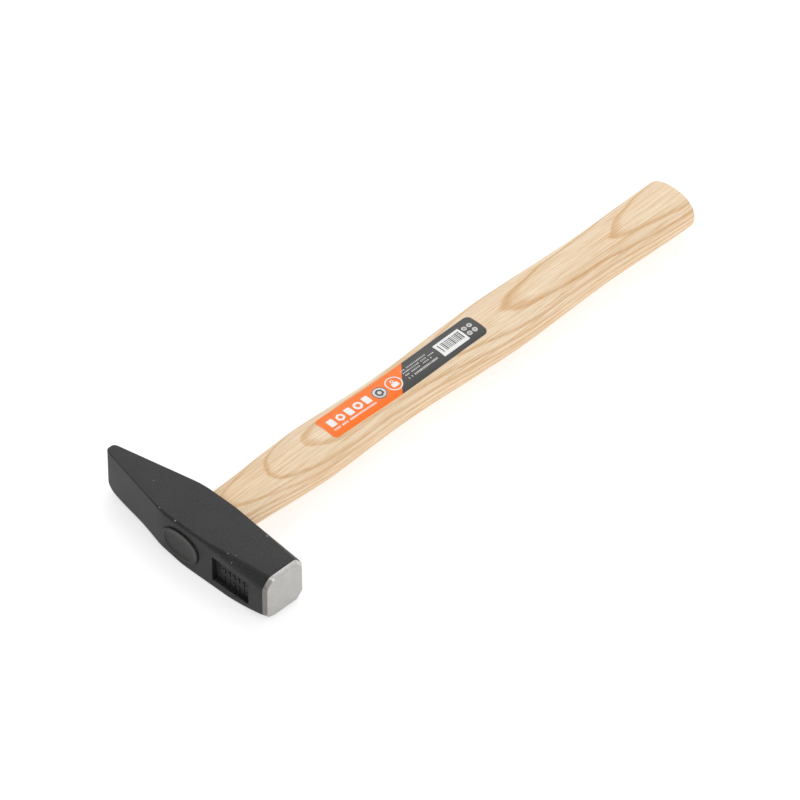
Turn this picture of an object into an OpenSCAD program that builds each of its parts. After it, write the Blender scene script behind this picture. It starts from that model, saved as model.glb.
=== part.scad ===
// Cross peen hammer, 300 g class: a forged head on an ash handle, wedged and sealed in
// the eye, with a printed film label on the handle.
// Frame: +X from the peen to the striking face, +Y from the head to the butt, +Z up.
// The hammer lies on the lower cheek of its head, which is the plane z = 0, and the
// origin is on that cheek, straight below the centre of the eye.

/* [Head] */
// Length from the striking face to the end of the peen
head_len = 105; // [100:1:110]
// Distance from the eye's centre to the striking face
face_x = 49.7; // [47:0.1:52]
// Side of the square striking end, which is also the head's width across the cheeks
head_w = 23; // [22:0.5:25]
// Height of the head at the eye, along the handle
eye_h = 24; // [23:0.5:26]
// Radius of the peen's rounded nose
nose_r = 3; // [2:0.1:4]
// Half angle of the peen's wedge
peen_angle = 12.2; // [11:0.1:13]
// Radius that blends the wedge into the body
blend_r = 48; // [40:1:56]
// Radius of the peen's two lower edges
peen_edge_r = 3; // [1:0.1:4]
// Size of the corner chamfers where they meet the striking face
corner_cut = 4; // [2:0.1:5]
// Where the corner chamfers run out, from the eye's centre
corner_start = 7; // [6:1:12]
// Bevel round the edge of the striking face
face_bevel = 1.65; // [1:0.05:2.5]

/* [Marking recess] */
// Length of the recess along the head
recess_len = 21.3; // [14:0.1:24]
// Width of the recess
recess_w = 13; // [8:0.5:15]
// Depth of the recess
recess_depth = 2.4; // [1:0.1:3]
// Height of the raised marks on its floor
mark_h = 0.7; // [0.3:0.1:0.9]

/* [Handle] */
// Distance from the eye's centre to the butt
handle_len = 288; // [270:1:310]
// Width of the handle at the widest part of the grip
grip_w = 29.2; // [27:0.1:31]
// Thickness of the handle at the same place
grip_t = 20.4; // [18:0.1:21]
// Radius of the rounded edge of the butt
butt_r = 2.7; // [1:0.1:4]
// Squareness of the oval section, where 2 is a true ellipse
section_power = 2.2; // [2:0.05:2.6]

/* [Eye and wedges] */
// How far the seal stands out of the head
seal_proud = 0.7; // [0.3:0.1:1]
// Depth of the seal inside the eye
seal_depth = 2; // [1:0.1:3]
// Depth of the wooden wedge in the kerf
wedge_depth = 15; // [10:1:18]
// Thickness of the wooden wedge at its thick end
wedge_t = 3.2; // [2:0.1:4]
// Outer diameter of the steel ring wedge
ring_d = 9; // [8:0.5:10]
// Depth of the ring wedge
ring_depth = 8; // [6:0.5:10]

/* [Label] */
// Where the label starts, from the eye's centre
label_y = 72; // [60:1:80]
// Length of the label
label_len = 92.6; // [92:0.1:100]
// Width of the label, measured across the handle
label_w = 13.4; // [12:0.2:15]
// How far the label sits off the middle, towards the striking face's side
label_x = 0.35; // [0:0.05:1]
// Thickness of the film
film_t = 0.12; // [0.08:0.01:0.3]
// Thickness of the printed marks
print_t = 0.04; // [0.03:0.01:0.1]

/* [Hidden] */
$fn = 48;

half_w = head_w / 2;
half_h = eye_h / 2;
mid_z = half_w;                       // height of the head's and handle's middle plane
peen_x = face_x - head_len;           // end of the peen
nose_x = peen_x + nose_r;             // centre of the nose's round
// the wedge's side, which touches the nose, would meet the eye's side at this corner
peen_corner_x = nose_x + (half_h - nose_r / cos(peen_angle)) / tan(peen_angle);
far = 60;                             // reach of the cutting blocks, past any part of the head
sides = 52;                           // points round an oval section
proud = 0.01;                         // lift that keeps thin layers off the surface below

// Stations along the handle: distance from the eye, width and thickness as shares of the grip's
STATIONS = [
    [ -16.0, 0.744, 0.765],
    [ -11.5, 0.730, 0.745],
    [   0.0, 0.715, 0.720],
    [  11.5, 0.775, 0.765],
    [  30.0, 0.832, 0.824],
    [  48.0, 0.900, 0.912],
    [  66.0, 0.936, 0.961],
    [  86.0, 0.892, 0.931],
    [ 106.0, 0.852, 0.882],
    [ 126.0, 0.866, 0.902],
    [ 152.0, 0.946, 0.970],
    [ 180.0, 1.000, 1.000],
    [ 206.0, 0.948, 0.956],
    [ 234.0, 0.892, 0.912],
    [ 258.0, 0.914, 0.936],
    [ 280.0, 0.944, 0.971],
    [ 290.0, 0.940, 0.971]];

// Index of the station before distance y
function station_at(y, i = 0) =
    i >= len(STATIONS) - 2 || y < STATIONS[i + 1][0] ? i : station_at(y, i + 1);

// Slope of column c at station i, from its neighbours
function slope(i, c) =
    let (a = max(i - 1, 0), b = min(i + 1, len(STATIONS) - 1))
    (STATIONS[b][c] - STATIONS[a][c]) / (STATIONS[b][0] - STATIONS[a][0]);

// Smooth curve through column c of the stations
function along(y, c) =
    let (i = station_at(y), step = STATIONS[i + 1][0] - STATIONS[i][0],
         t = (y - STATIONS[i][0]) / step, t2 = t * t, t3 = t2 * t)
    (2 * t3 - 3 * t2 + 1) * STATIONS[i][c] + (t3 - 2 * t2 + t) * step * slope(i, c)
    + (3 * t2 - 2 * t3) * STATIONS[i + 1][c] + (t3 - t2) * step * slope(i + 1, c);

// Half width and half thickness of the handle at distance y
function half_x(y) = along(y, 1) * grip_w / 2;
function half_z(y) = along(y, 2) * grip_t / 2;

// Signed power, which squares off a circle into a superellipse
function spow(v, p) = sign(v) * pow(abs(v), p);

// One oval ring in the plane at distance y, with half sizes a and b
function oval(a, b, y) = [for (i = [0 : sides - 1]) let (u = 360 * i / sides)
    [a * spow(cos(u), 2 / section_power), y, mid_z + b * spow(sin(u), 2 / section_power)]];

// The oval section of the handle at distance y, drawn in by inset
function section(y, inset = 0) = oval(half_x(y) - inset, half_z(y) - inset, y);

// Height of the handle's upper surface over a point x, y
function top_z(x, y) =
    mid_z + half_z(y) * pow(1 - pow(abs(x) / half_x(y), section_power), 1 / section_power);

// A closed solid through a list of rings, all with the same number of points
module loft(rings) {
    n = len(rings[0]);
    m = len(rings);
    polyhedron(
        points = [for (ring = rings, p = ring) p],
        faces = concat(
            [[for (i = [n - 1 : -1 : 0]) i]],
            [for (j = [0 : m - 2], i = [0 : n - 1]) let (k = (i + 1) % n)
                [j * n + i, (j + 1) * n + k, (j + 1) * n + i]],
            [for (j = [0 : m - 2], i = [0 : n - 1]) let (k = (i + 1) % n)
                [j * n + i, j * n + k, (j + 1) * n + k]],
            [[for (i = [0 : n - 1]) (m - 1) * n + i]]));
}

// ---- head ----

// Side view of the head, in X and Y: a nose, a straight wedge, a blend and a body that
// tapers a little from the eye to the striking face
module side_outline() {
    blend_x = peen_corner_x + blend_r * tan(peen_angle / 2);
    upper = concat(
        [for (a = [180 : -10 : 90 + peen_angle]) [nose_x + nose_r * cos(a), nose_r * sin(a)]],
        [for (a = [peen_angle : -peen_angle / 8 : 0])
            [blend_x - blend_r * sin(a), half_h - blend_r * (1 - cos(a))]],
        [[corner_start, half_h], [face_x, half_w]]);
    lower = [for (i = [len(upper) - 1 : -1 : 1]) [upper[i][0], -upper[i][1]]];
    polygon(concat(upper, lower));
}

// Blocks that cut the four corners, growing from nothing to corner_cut at the face
module corner_blocks() {
    at_start = (half_h + half_w) / sqrt(2);
    at_face = (2 * half_w - corner_cut) / sqrt(2);
    tilt = atan((at_start - at_face) / (face_x - face_bevel - corner_start));
    for (a = [45 : 90 : 315]) rotate([a, 0, 0])
        translate([corner_start, at_start, 0]) rotate([0, 0, -tilt])
            translate([-far, 0, -far]) cube([3 * far, far, 2 * far]);
}

// Blocks that bevel the rim of the face: four sides and four corners
module rim_blocks() {
    corner_reach = (half_w - corner_cut / 2) * sqrt(2);
    for (a = [0 : 90 : 270], corner = [0, 1])
        rotate([a + 45 * corner, 0, 0])
            translate([face_x - face_bevel, corner == 1 ? corner_reach : half_w, 0])
                rotate([0, 0, -45]) translate([-far / 2, 0, -far / 2]) cube([far, far, far]);
}

// Blocks that bevel the peen's two lower edges; they run along the wedge's sides, so they
// leave the body by themselves where the blend turns in
module peen_edge_blocks() {
    cut = peen_edge_r * (2 - sqrt(2));
    for (side = [0, 1]) mirror([0, side, 0])
        translate([peen_corner_x, half_h, -half_w]) rotate([0, 0, peen_angle]) rotate([-45, 0, 0])
            translate([-far, -cut / sqrt(2), -far / 2]) cube([2 * far, far, far]);
}

// The eye, which the handle's tenon fills exactly
module eye() {
    step = (eye_h + 8) / 8;
    loft([for (i = [0 : 8]) section(-half_h - 4 + i * step)]);
}

module marking_recess() {
    rows = 3;
    bars = 5;
    start_x = 18.5;
    low_z = -7;
    row_pitch = recess_w / rows;
    bar_pitch = (recess_len - 3) / bars;
    floor_y = -half_w + recess_depth - 0.35;   // the side here stands out past half_w
    difference() {
        translate([start_x, -half_h - 1, low_z])
            cube([recess_len, floor_y + half_h + 1, recess_w]);
        for (r = [0 : rows - 1], b = [0 : bars - 1])
            translate([start_x + 1.8 + b * bar_pitch, floor_y - mark_h,
                       low_z + 0.9 + r * row_pitch])
                cube([bar_pitch * (b % 2 == 0 ? 0.72 : 0.4), 2 * mark_h, row_pitch - 1.8]);
    }
}

module head() {
    color([0.16, 0.16, 0.16]) difference() {
        translate([0, 0, mid_z]) difference() {
            linear_extrude(head_w, center = true) side_outline();
            corner_blocks();
            rim_blocks();
            peen_edge_blocks();
            marking_recess();
        }
        eye();
    }
}

// ---- handle ----

tenon_y = -half_h + seal_depth;        // the tenon stops here, under the seal
wedge_end_y = tenon_y + wedge_depth;
kerf_w = 2 * half_x(tenon_y) - 3;      // the kerf stops this far inside the tenon's sides

// The kerf's shape, which the wooden wedge fills: thick at the tenon's end, thin inside
module kerf_shape(width, extra = 0) {
    thin = 0.6;
    translate([0, 0, mid_z]) rotate([90, 0, 90]) linear_extrude(width, center = true)
        polygon([
            [tenon_y - extra, -wedge_t / 2], [wedge_end_y, -thin / 2],
            [wedge_end_y, thin / 2], [tenon_y - extra, wedge_t / 2]]);
}

// A hollow cone with a sharp inner end
module ring_shape() {
    wall = 1;
    edge = 0.25;
    translate([0, tenon_y + ring_depth, mid_z]) rotate([90, 0, 0]) rotate_extrude()
        polygon([
            [ring_d / 2 - wall - edge, 0], [ring_d / 2 - wall, 0],
            [ring_d / 2, ring_depth], [ring_d / 2 - wall - edge, ring_depth]]);
}

module handle() {
    ring_step = 6;
    body_end = handle_len - butt_r;
    color([0.91, 0.81, 0.69]) difference() {
        loft(concat(
            [section(tenon_y)],
            [for (y = [-8 : 4 : 16]) section(y)],
            [for (y = [20 : ring_step : body_end - 1]) section(y)],
            [for (a = [0 : 15 : 90])
                section(body_end + butt_r * sin(a), butt_r * (1 - cos(a)))]));
        kerf_shape(kerf_w, 1);
        ring_shape();
    }
}

module wooden_wedge() {
    color([0.72, 0.55, 0.36]) difference() {
        kerf_shape(kerf_w);
        ring_shape();
    }
}

module ring_wedge() {
    color([0.55, 0.56, 0.58]) ring_shape();
}

// Poured seal over the wedged tenon: flush in the eye, with a round rim and a dished top
module end_seal() {
    a = half_x(-half_h);
    b = half_z(-half_h);
    top_y = -half_h - seal_proud;
    gap = 0.25;                        // the rim stands this far inside the eye's edge
    color([0.2, 0.21, 0.19]) loft([
        oval(a * 0.72, b * 0.62, top_y + 0.32),
        oval(a - 2.4, b - 2.4, top_y + 0.2),
        oval(a - 1.5, b - 1.5, top_y + 0.03),
        oval(a - gap - 0.75, b - gap - 0.75, top_y),
        oval(a - gap - 0.3, b - gap - 0.3, top_y + 0.12),
        oval(a - gap, b - gap, top_y + 0.45),
        oval(a - gap, b - gap, -half_h + 0.2),
        section(-half_h + 0.45),
        section(tenon_y)]);
}

// ---- label ----

// A thin patch that follows the handle's upper surface, from row to row along the handle;
// each row is [y, left x, right x]
module patch(rows, columns, lift, thick) {
    m = len(rows);
    n = columns + 1;
    function at(row, i) = row[1] + (row[2] - row[1]) * i / columns;
    function layer(up) = [for (row = rows, i = [0 : columns])
        [at(row, i), row[0], top_z(at(row, i), row[0]) + up]];
    base = m * n;
    rim = concat(
        [for (i = [0 : n - 2]) i],
        [for (j = [0 : m - 2]) j * n + n - 1],
        [for (i = [n - 1 : -1 : 1]) (m - 1) * n + i],
        [for (j = [m - 1 : -1 : 1]) j * n]);
    polyhedron(
        points = concat(layer(lift), layer(lift + thick)),
        faces = concat(
            [for (j = [0 : m - 2], i = [0 : n - 2])
                [j * n + i, j * n + i + 1, (j + 1) * n + i + 1]],
            [for (j = [0 : m - 2], i = [0 : n - 2])
                [j * n + i, (j + 1) * n + i + 1, (j + 1) * n + i]],
            [for (j = [0 : m - 2], i = [0 : n - 2])
                [base + j * n + i, base + (j + 1) * n + i + 1, base + j * n + i + 1]],
            [for (j = [0 : m - 2], i = [0 : n - 2])
                [base + j * n + i, base + (j + 1) * n + i, base + (j + 1) * n + i + 1]],
            [for (k = [0 : len(rim) - 1]) let (p = rim[k], q = rim[(k + 1) % len(rim)])
                [p, base + p, base + q]],
            [for (k = [0 : len(rim) - 1]) let (p = rim[k], q = rim[(k + 1) % len(rim)])
                [p, base + q, q]]));
}

print_lift = 2 * proud + film_t;

// A printed bar, between two distances from the label's end nearest the head and two
// distances from its centre line
module bar(from, to, left, right) {
    patch([[label_y + from, label_x + left, label_x + right],
           [label_y + to, label_x + left, label_x + right]], 2, print_lift, print_t);
}

// A printed ring round a point that is given in the same way, made of short bars
module printed_ring(across, along, outer, line) {
    n = 32;
    x = label_x + across;
    y = label_y + along;
    rings = [for (i = [0 : n - 1]) let (u = 360 * i / n, c = cos(u), s = sin(u))
        [for (r = [outer, outer - line], up = [0, print_t])
            [x + r * c, y + r * s, top_z(x + r * c, y + r * s) + print_lift + up]]];
    corner = [0, 1, 3, 2];
    polyhedron(
        points = [for (ring = rings, k = corner) ring[k]],
        faces = concat(
            [for (i = [0 : n - 1], k = [0 : 3]) let (j = (i + 1) % n, l = (k + 1) % 4)
                [4 * i + k, 4 * j + l, 4 * j + k]],
            [for (i = [0 : n - 1], k = [0 : 3]) let (j = (i + 1) % n, l = (k + 1) % 4)
                [4 * i + k, 4 * i + l, 4 * j + l]]));
}

module label_film() {
    corner = 2.5;
    half = label_w / 2;
    end = label_y + label_len;
    // half width near an end, where the corner is round
    function reach(d) =
        d >= corner ? half : half - corner + sqrt(corner * corner - pow(corner - d, 2));
    starts = [for (a = [0 : 22.5 : 90]) corner * (1 - cos(a))];
    rows = concat(
        [for (d = starts) [label_y + d, label_x - reach(d), label_x + reach(d)]],
        [for (y = [label_y + 7 : 5 : end - 5]) [y, label_x - half, label_x + half]],
        [for (i = [len(starts) - 1 : -1 : 0])
            [end - starts[i], label_x - reach(starts[i]), label_x + reach(starts[i])]]);
    color([1, 0.49, 0.24]) patch(rows, 10, proud, film_t);
}

module label_print() {
    block = 4.1;
    block_pitch = 5.2;
    line = 0.8;
    stripe = 1;
    dot_r = 1.25;
    color([0.95, 0.95, 0.93]) {
        // a row of plain blocks where a name would be, over a thin strip
        for (i = [0 : 4]) bar(2.8 + i * block_pitch, 2.8 + i * block_pitch + block, -2.75, 1.75);
        bar(3, 27.6, 2.85, 2.85 + line);
        printed_ring(0.2, 32.75, 3.4, 1.2);
        printed_ring(0.35, 41.2, 4, 0.55);
        // lines of small print, as plain strips: distance across and end
        for (strip = [[-2.85, 62.8], [-1.2, 66.2], [0.35, 63.5], [2.35, 66.5]])
            bar(48, strip[1], strip[0], strip[0] + line);
        // stripes of a plain scale
        for (i = [0 : 7]) bar(68.3 + 2 * i * stripe, 68.3 + (2 * i + 1) * stripe, -3.55, 4.35);
        // four small dots
        for (along = [85.6, 88.7], across = [-1.4, 2.05])
            printed_ring(across, along, dot_r, dot_r - 0.05);
    }
}

head();
handle();
wooden_wedge();
ring_wedge();
end_seal();
label_film();
label_print();
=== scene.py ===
import functools
import math
import bmesh
import bpy
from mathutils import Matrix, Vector


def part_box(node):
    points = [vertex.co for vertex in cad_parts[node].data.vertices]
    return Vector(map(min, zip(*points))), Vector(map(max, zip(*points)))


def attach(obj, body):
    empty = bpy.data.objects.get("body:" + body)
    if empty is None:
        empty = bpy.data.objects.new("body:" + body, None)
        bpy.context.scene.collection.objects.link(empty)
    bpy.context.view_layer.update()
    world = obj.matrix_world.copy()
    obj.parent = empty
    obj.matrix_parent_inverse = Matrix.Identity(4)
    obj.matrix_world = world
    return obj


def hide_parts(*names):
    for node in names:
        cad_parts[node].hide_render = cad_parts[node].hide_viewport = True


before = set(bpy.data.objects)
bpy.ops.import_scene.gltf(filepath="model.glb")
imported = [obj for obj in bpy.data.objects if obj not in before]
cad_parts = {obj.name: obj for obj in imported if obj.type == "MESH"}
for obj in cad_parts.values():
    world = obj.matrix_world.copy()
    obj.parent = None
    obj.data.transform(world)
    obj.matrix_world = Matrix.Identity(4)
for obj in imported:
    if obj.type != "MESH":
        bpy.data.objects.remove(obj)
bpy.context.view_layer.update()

mm = 0.001
headLow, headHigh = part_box("head")
handleLow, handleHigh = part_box("handle")
sealLow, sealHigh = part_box("end_seal")
filmLow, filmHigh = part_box("label_film")
midZ = (headLow[2] + headHigh[2]) / 2
print("frame loaded, head middle at", round(midZ / mm, 2), "mm")


# small helpers for meshes

def makeObject(name, data):
    piece = bpy.data.objects.new(name, data)
    bpy.context.scene.collection.objects.link(piece)
    return piece


def meshFrom(name, work):
    mesh = bpy.data.meshes.new(name)
    work.to_mesh(mesh)
    work.free()
    return mesh


def loftMesh(name, rings):
    # closed skin through rings that all have the same number of points
    work = bmesh.new()
    rows = [[work.verts.new(p) for p in ring] for ring in rings]
    count = len(rows[0])
    for near, far in zip(rows, rows[1:]):
        for i in range(count):
            j = (i + 1) % count
            work.faces.new((near[i], near[j], far[j], far[i]))
    work.faces.new(list(reversed(rows[0])))
    work.faces.new(rows[-1])
    bmesh.ops.remove_doubles(work, verts=work.verts, dist=1e-7)
    bmesh.ops.recalc_face_normals(work, faces=work.faces)
    return meshFrom(name, work)


def bakeModifiers(piece):
    # the evaluated result becomes the piece's plain mesh
    bpy.context.view_layer.update()
    graph = bpy.context.evaluated_depsgraph_get()
    plain = bpy.data.meshes.new_from_object(piece.evaluated_get(graph), depsgraph=graph)
    piece.modifiers.clear()
    piece.data = plain
    return piece


def smoothShade(mesh, degrees):
    mesh.shade_smooth()
    mesh.set_sharp_from_angle(angle=math.radians(degrees))


def cutWith(piece, cutter, keepCutter=False):
    change = piece.modifiers.new("cut", "BOOLEAN")
    change.operation = "DIFFERENCE"
    change.solver = "EXACT"
    change.object = cutter
    bakeModifiers(piece)
    if not keepCutter:
        bpy.data.objects.remove(cutter)


def joinPieces(name, pieces):
    # one plain mesh from several, with each one's material
    joined = bmesh.new()
    materials = []
    for piece in pieces:
        finish = piece.data.materials[0]
        if finish not in materials:
            materials.append(finish)
        before = len(joined.faces)
        joined.from_mesh(piece.data)
        for k, face in enumerate(joined.faces):
            if k >= before:
                face.material_index = materials.index(finish)
        bpy.data.objects.remove(piece)
    mesh = meshFrom(name, joined)
    for finish in materials:
        mesh.materials.append(finish)
    return makeObject(name, mesh)


def makeBox(name, low, high):
    work = bmesh.new()
    bmesh.ops.create_cube(work, size=1)
    for v in work.verts:
        v.co = Vector([low[k] + (high[k] - low[k]) * (v.co[k] + 0.5) for k in range(3)])
    return makeObject(name, meshFrom(name, work))


# small helpers for node trees

def treeOf(*values):
    return next(value.id_data for value in values if isinstance(value, bpy.types.NodeSocket))


def feed(socket, value):
    if isinstance(value, bpy.types.NodeSocket):
        socket.id_data.links.new(value, socket)
    else:
        socket.default_value = value


def plug(node, **values):
    # values go to input sockets by name, with _ for a space, or by number as in0, in1
    for key, value in values.items():
        numbered = key.startswith("in") and key[2:].isdigit()
        feed(node.inputs[int(key[2:]) if numbered else key.replace("_", " ")], value)


def addNode(tree, kind, settings=None, **values):
    node = tree.nodes.new(kind)
    for key, value in (settings or {}).items():
        setattr(node, key, value)
    plug(node, **values)
    return node


def firstOf(tree, kind, settings=None, **values):
    return addNode(tree, kind, settings, **values).outputs[0]


def geoNode(tree, kind, settings=None, **values):
    return firstOf(tree, "GeometryNode" + kind, settings, **values)


def mathNode(operation, *values, kind="ShaderNodeMath"):
    # at least one of the values is a socket, which knows its tree
    node = addNode(treeOf(*values), kind, {"operation": operation})
    for socket, value in zip(node.inputs, values):
        feed(socket, value)
    return node.outputs[0]


plus, minus, times, over, timesPlus, larger = (functools.partial(mathNode,
    operation) for operation in ("ADD", "SUBTRACT", "MULTIPLY", "DIVIDE", "MULTIPLY_ADD", "MAXIMUM"))


def vectorNode(operation, *values):
    return mathNode(operation, *values, kind="ShaderNodeVectorMath")


def splitVector(vector):
    return addNode(treeOf(vector), "ShaderNodeSeparateXYZ", Vector=vector).outputs


def joinVector(**parts):
    return firstOf(treeOf(*parts.values()), "ShaderNodeCombineXYZ", **parts)


def randomShare(low, seed):
    return addNode(treeOf(low, seed), "FunctionNodeRandomValue", in2=low, in3=1.0, in8=seed).outputs[1]


def hypotenuse(first, second):
    return mathNode("SQRT", timesPlus(second, second, times(first, first)))


def mixColor(factor, first, second, blend="MIX"):
    node = addNode(treeOf(factor, first, second), "ShaderNodeMix", {"data_type": "RGBA", "blend_type": blend})
    feed(node.inputs[0], factor)
    for socket, color in ((node.inputs[6], first), (node.inputs[7], second)):
        feed(socket, (*color, 1) if isinstance(color, tuple) else color)
    return node.outputs[2]


def rangeNode(value, low, high, toLow=0.0, toHigh=1.0, smooth=False):
    shape = "SMOOTHSTEP" if smooth else "LINEAR"
    node = addNode(treeOf(value), "ShaderNodeMapRange", {"interpolation_type": shape})
    for socket, number in zip(node.inputs, (value, low, high, toLow, toHigh)):
        feed(socket, number)
    return node.outputs[0]


def noiseNode(vector, detail, roughness, stretch, shift=(0, 0, 0)):
    tree = treeOf(vector)
    spread = firstOf(tree, "ShaderNodeMapping", Vector=vector, Scale=stretch, Location=shift)
    return firstOf(tree, "ShaderNodeTexNoise", Vector=spread, Scale=1.0, Detail=detail, Roughness=roughness)


def newGroup(name, inputs, outputs, treeKind="ShaderNodeTree"):
    # an input is given by its kind, or by a default value of that kind
    group = bpy.data.node_groups.new(name, treeKind)
    for label, value in inputs.items():
        kind = value if isinstance(value, str) else {int: "Int", float: "Float", tuple: "Vector"}[type(value)]
        socket = group.interface.new_socket(label, in_out="INPUT", socket_type="NodeSocket" + kind)
        if kind is not value:
            socket.default_value = value
    for label, kind in outputs.items():
        group.interface.new_socket(label, in_out="OUTPUT", socket_type="NodeSocket" + kind)
    start = group.nodes.new("NodeGroupInput")
    end = group.nodes.new("NodeGroupOutput")
    return group, start.outputs, end.inputs


def newGeometryTree(name, inputs):
    return newGroup(name, inputs, {"Geometry": "Geometry"}, "GeometryNodeTree")


def placeGroup(tree, group, **values):
    kind = tree.bl_idname.replace("NodeTree", "NodeGroup")
    return addNode(tree, kind, {"node_tree": group}, **values).outputs


def newMaterial(name, **fixed):
    # also gives the place on the object in mm
    material = bpy.data.materials.new(name)
    material.use_nodes = True
    tree = material.node_tree
    shader = next(n for n in tree.nodes if n.type == "BSDF_PRINCIPLED")
    plug(shader, **fixed)
    coords = tree.nodes.new("ShaderNodeTexCoord").outputs["Object"]
    inMm = firstOf(tree, "ShaderNodeVectorMath", {"operation": "SCALE"}, Vector=coords, Scale=1 / mm)
    return material, tree, shader, inMm


def bumpInto(shader, height, strength, distance):
    bump = firstOf(shader.id_data, "ShaderNodeBump", Height=height, Strength=strength, Distance=distance)
    plug(shader, Normal=bump)


def setMaterial(piece, material):
    piece.data.materials.clear()
    piece.data.materials.append(material)


# effects that several materials share

def makeGrainGroup():
    # fine uneven grain, for lacquer, resin and ink: a value round a half and a height
    group, given, out = newGroup("fineGrain", {"Vector": "Vector", "Size": 1.0, "Patch": 12.0},
        {"Speckle": "Float", "Patches": "Float", "Height": "Float"})
    fine = firstOf(group, "ShaderNodeTexNoise", Vector=given["Vector"], Detail=3.0, Roughness=0.6,
        Scale=over(1.0, given["Size"]))
    broad = firstOf(group, "ShaderNodeTexNoise", Vector=given["Vector"], Detail=2.0, Roughness=0.5,
        Scale=over(1.0, given["Patch"]))
    feed(out["Speckle"], fine)
    feed(out["Patches"], broad)
    feed(out["Height"], timesPlus(broad, 0.6, fine))
    return group


def makeSpeckGroup():
    # rare small marks, such as dust, pits and chips: a mask from 0 to 1
    group, given, out = newGroup("rareSpecks", {"Vector": "Vector", "Spacing": 6.0, "Radius": 0.2,
        "Share": 0.4}, {"Mask": "Float"})
    wobble = addNode(group, "ShaderNodeTexNoise", Vector=given["Vector"], Scale=2.2, Detail=2.0).outputs[1]
    bent = vectorNode("MULTIPLY_ADD", wobble, (0.35, 0.35, 0.35), given["Vector"])
    cells = addNode(group, "ShaderNodeTexVoronoi", Vector=bent, Scale=over(1.0, given["Spacing"])).outputs
    pick = addNode(group, "ShaderNodeSeparateColor", Color=cells["Color"]).outputs
    chosen = mathNode("LESS_THAN", pick[0], given["Share"])
    size = times(over(given["Radius"], given["Spacing"]), timesPlus(pick[1], 1.2, 0.4))
    inside = mathNode("LESS_THAN", cells["Distance"], size)
    feed(out["Mask"], times(inside, chosen))
    return group


steelSpec = {"dark": (0.40, 0.393, 0.378), "light": (0.525, 0.518, 0.50), "cloud": (0.38, 0.372, 0.355)}


def makeSteelGroup():
    # ground steel: fine lines of a given direction with cloudy patches
    group, given, out = newGroup("groundSteel", {"Vector": "Vector", "Lines": (4.0, 0.25, 5.5)},
        {"Color": "Color", "Roughness": "Float", "Height": "Float"})
    drawn = vectorNode("MULTIPLY", given["Vector"], given["Lines"])
    lines = firstOf(group, "ShaderNodeTexNoise", Vector=drawn, Scale=1.0, Detail=3.0, Roughness=0.6)
    cloud = noiseNode(given["Vector"], 3.0, 0.6, (0.16, 0.16, 0.16), (4, 4, 4))
    steel = mixColor(rangeNode(lines, 0.35, 0.65), steelSpec["dark"], steelSpec["light"])
    steel = mixColor(rangeNode(cloud, 0.35, 0.7, 0.0, 0.35), steel, steelSpec["cloud"])
    feed(out["Color"], steel)
    feed(out["Roughness"], rangeNode(lines, 0.3, 0.7, 0.34, 0.48))
    feed(out["Height"], lines)
    return group


fineGrain = makeGrainGroup()
groundSteel = makeSteelGroup()
rareSpecks = makeSpeckGroup()
print("shared effects ready")


# handle

handleSpec = {
    "gripWidth": 29.2, "gripThickness": 20.4, "buttRadius": 2.7, "squareness": 2.2,
    "sides": 96, "ringStep": 1.6, "buttSteps": 12, "smoothAngle": 50,
    # distance from the eye, then width and thickness as shares of the grip's
    "stations": [
        (-16.0, 0.744, 0.765), (-11.5, 0.730, 0.745), (0.0, 0.715, 0.720), (11.5, 0.775, 0.765),
        (30.0, 0.832, 0.824), (48.0, 0.900, 0.912), (66.0, 0.936, 0.961), (86.0, 0.892, 0.931),
        (106.0, 0.852, 0.882), (126.0, 0.866, 0.902), (152.0, 0.946, 0.970), (180.0, 1.000, 1.000),
        (206.0, 0.948, 0.956), (234.0, 0.892, 0.912), (258.0, 0.914, 0.936), (280.0, 0.944, 0.971),
        (290.0, 0.940, 0.971)],
    "endRings": (0.75, 0.5, 0.25),      # rings inside the end face, so that it isn't one large polygon
}
tenonY = handleLow[1] / mm
buttY = handleHigh[1] / mm


def alongStations(y, column):
    rows = handleSpec["stations"]
    i = max(k for k in range(len(rows) - 1) if k == 0 or rows[k][0] <= y)

    def slope(k):
        a, b = max(k - 1, 0), min(k + 1, len(rows) - 1)
        return (rows[b][column] - rows[a][column]) / (rows[b][0] - rows[a][0])

    step = rows[i + 1][0] - rows[i][0]
    t = (y - rows[i][0]) / step
    return ((2 * t**3 - 3 * t**2 + 1) * rows[i][column] + (t**3 - 2 * t**2 + t) * step * slope(i)
            + (3 * t**2 - 2 * t**3) * rows[i + 1][column] + (t**3 - t**2) * step * slope(i + 1))


def halfX(y):
    return alongStations(y, 1) * handleSpec["gripWidth"] / 2


def halfZ(y):
    return alongStations(y, 2) * handleSpec["gripThickness"] / 2


def oval(a, b, y, sides):
    power = 2 / handleSpec["squareness"]
    ring = []
    for i in range(sides):
        u = 2 * math.pi * i / sides
        c, s = math.cos(u), math.sin(u)
        ring.append((math.copysign(abs(c)**power, c) * a * mm, y * mm,
            midZ + math.copysign(abs(s)**power, s) * b * mm))
    return ring


def section(y, inset=0.0, sides=None):
    return oval(halfX(y) - inset, halfZ(y) - inset, y, sides or handleSpec["sides"])


def makeHandle():
    r, roundSteps = handleSpec["buttRadius"], handleSpec["buttSteps"]
    end = buttY - r
    count = round((end - tenonY) / handleSpec["ringStep"])
    rings = [section(tenonY + (end - tenonY) * k / count) for k in range(count + 1)]
    for k in range(1, roundSteps + 1):
        a = math.radians(90 * k / roundSteps)
        rings.append(section(end + r * math.sin(a), r * (1 - math.cos(a))))
    last = rings[-1]
    centre = Vector((0, buttY * mm, midZ))
    for share in handleSpec["endRings"]:
        rings.append([tuple(centre.lerp(Vector(p), share)) for p in last])
    piece = makeObject("ashHandle", loftMesh("ashHandle", rings))
    smoothShade(piece.data, handleSpec["smoothAngle"])
    return piece


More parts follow.
